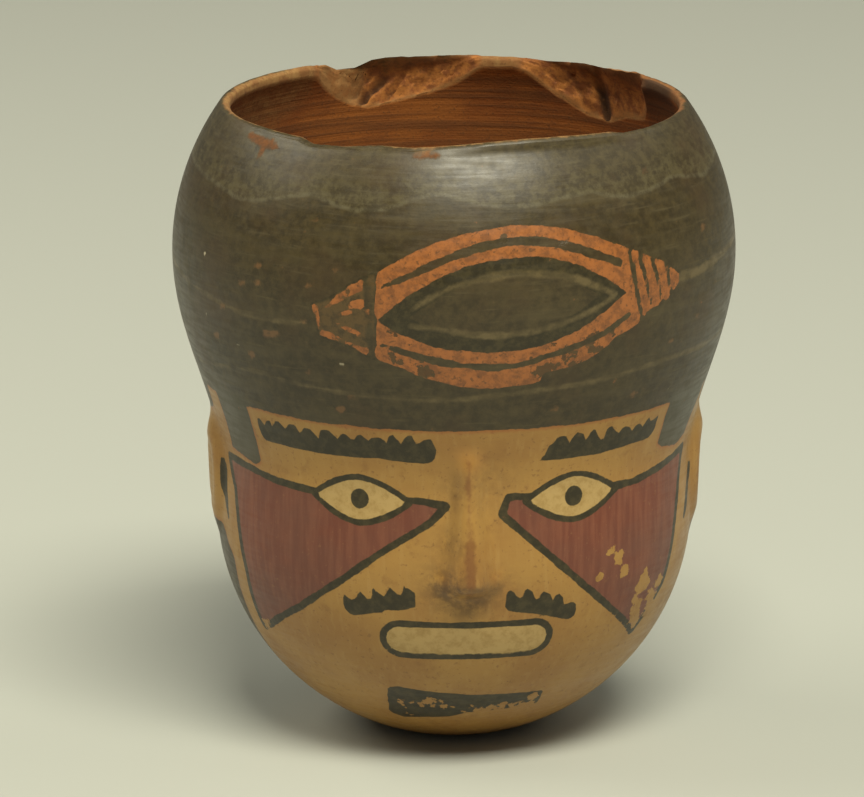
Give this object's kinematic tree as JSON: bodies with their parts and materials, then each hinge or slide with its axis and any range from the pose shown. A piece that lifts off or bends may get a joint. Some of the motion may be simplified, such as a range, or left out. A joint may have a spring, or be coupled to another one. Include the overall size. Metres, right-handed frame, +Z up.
{
  "type": "head effigy cup",
  "caption": "Round-bottomed fired clay cup in the form of a human head, hollow and open above, with a low nose and ears in relief and a chipped, spalled rim.",
  "frame": {"origin": "centre of the small flat that the cup stands on", "axes": "+Z up through the mouth, the face looks along -Y"},
  "size_m": [0.1262, 0.1262, 0.1451],
  "materials": {
    "painted_earthenware": "burnished slip paint on fired red clay: dark brown cap and hair, buff face, brick red patches"
  },
  "bodies": {
    "root": {"head_effigy_cup": "painted_earthenware"}
  },
  "joints": []
}
